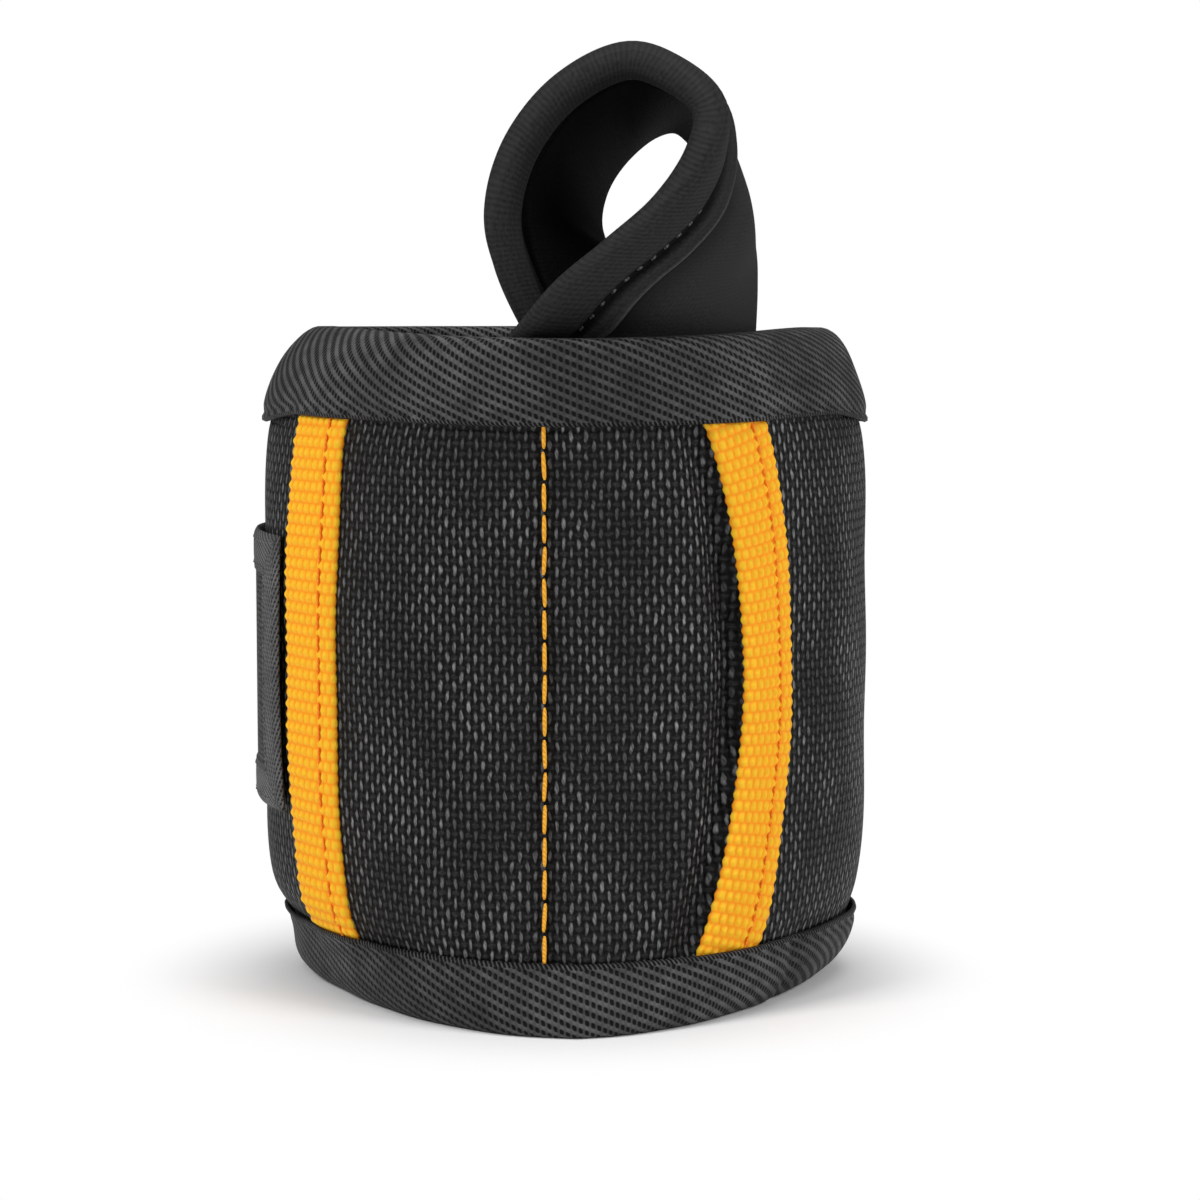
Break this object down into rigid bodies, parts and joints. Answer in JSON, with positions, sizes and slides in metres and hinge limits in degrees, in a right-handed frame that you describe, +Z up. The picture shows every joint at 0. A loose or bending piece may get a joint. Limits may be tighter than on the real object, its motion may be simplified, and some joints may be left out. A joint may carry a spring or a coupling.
{
  "type": "magnetic wristband",
  "caption": "Wide fabric wristband with magnet bars sewn behind its front panel to hold small steel parts, bright webbing trim, a hook and loop closure strap and a soft thumb loop.",
  "frame": {"origin": "on the surface that the band stands on, under the middle of the whole object", "axes": "+Z up along the band's height, front panel with the magnets towards -Y, thumb loop on top towards +X"},
  "size_m": [0.0868, 0.0814, 0.127],
  "materials": {
    "ballistic_nylon": "coarse basket weave of black yarn with a slight sheen",
    "binding_tape": "fine black twill",
    "orange_webbing": "ribbed woven webbing, bright orange",
    "orange_thread": "twisted sewing thread, bright orange",
    "spacer_mesh": "open knitted black mesh",
    "foam": "soft grey felted padding",
    "magnet": "bright plated",
    "loop_tape": "matt looped pile",
    "hook_tape": "matt hooked pile",
    "neoprene": "knit covered sponge rubber, matt black"
  },
  "bodies": {
    "front": {"front_panel": "ballistic_nylon", "front_liner": "spacer_mesh", "top_binding_front": "binding_tape", "bottom_binding_front": "binding_tape", "left_webbing": "orange_webbing", "right_webbing": "orange_webbing", "centre_seam_thread": "orange_thread", "magnet_left_1": "magnet", "magnet_left_2": "magnet", "magnet_left_3": "magnet", "magnet_left_4": "magnet", "magnet_left_5": "magnet", "magnet_right_1": "magnet", "magnet_right_2": "magnet", "magnet_right_3": "magnet", "magnet_right_4": "magnet", "magnet_right_5": "magnet", "magnet_carrier_left": "foam", "magnet_carrier_right": "foam", "thumb_loop_root": "neoprene"},
    "left_wing": {"left_wing_shell": "ballistic_nylon", "left_wing_liner": "spacer_mesh", "left_top_binding": "binding_tape", "left_bottom_binding": "binding_tape", "left_end_binding": "binding_tape", "loop_patch": "loop_tape"},
    "right_wing": {"right_wing_shell": "ballistic_nylon", "right_wing_liner": "spacer_mesh", "right_top_binding": "binding_tape", "right_bottom_binding": "binding_tape", "right_end_binding": "binding_tape", "strap_anchor": "ballistic_nylon"},
    "strap": {"strap_web": "ballistic_nylon", "strap_hook_tape": "hook_tape"},
    "strap_tip": {"strap_tip_web": "ballistic_nylon", "strap_tip_hook_tape": "hook_tape", "strap_tip_binding": "binding_tape"},
    "thumb_loop": {"thumb_loop_sleeve": "neoprene", "thumb_loop_near_hem": "neoprene", "thumb_loop_far_hem": "neoprene"}
  },
  "joints": [
    {"name": "left_wing_flex", "type": "hinge", "parent": "front", "child": "left_wing", "pos_m": [-0.03966, -0.0023, 0.045], "axis": [0, 0, 1], "range_deg": [0, 30]},
    {"name": "right_wing_flex", "type": "hinge", "parent": "front", "child": "right_wing", "pos_m": [0.04249, -0.0023, 0.045], "axis": [0, 0, 1], "range_deg": [-30, 0]},
    {"name": "strap_peel", "type": "hinge", "parent": "right_wing", "child": "strap", "pos_m": [0.01338, 0.03911, 0.0433], "axis": [0, 0, 1], "range_deg": [-105, 0]},
    {"name": "strap_tip_peel", "type": "hinge", "parent": "strap", "child": "strap_tip", "pos_m": [-0.04161, 0.0167, 0.0433], "axis": [0, 0, 1], "range_deg": [-80, 0]},
    {"name": "thumb_loop_flex", "type": "hinge", "parent": "front", "child": "thumb_loop", "pos_m": [0.01108, -0.02405, 0.0916], "axis": [0.8796, 0.4756, 0], "range_deg": [-40, 25], "stiffness_Nm_per_rad": 0.06}
  ],
  "couplings": [
    {"joint": "right_wing_flex", "follows": "left_wing_flex", "ratio": -1},
    {"joint": "strap_peel", "follows": "left_wing_flex", "ratio": -3.5}
  ]
}
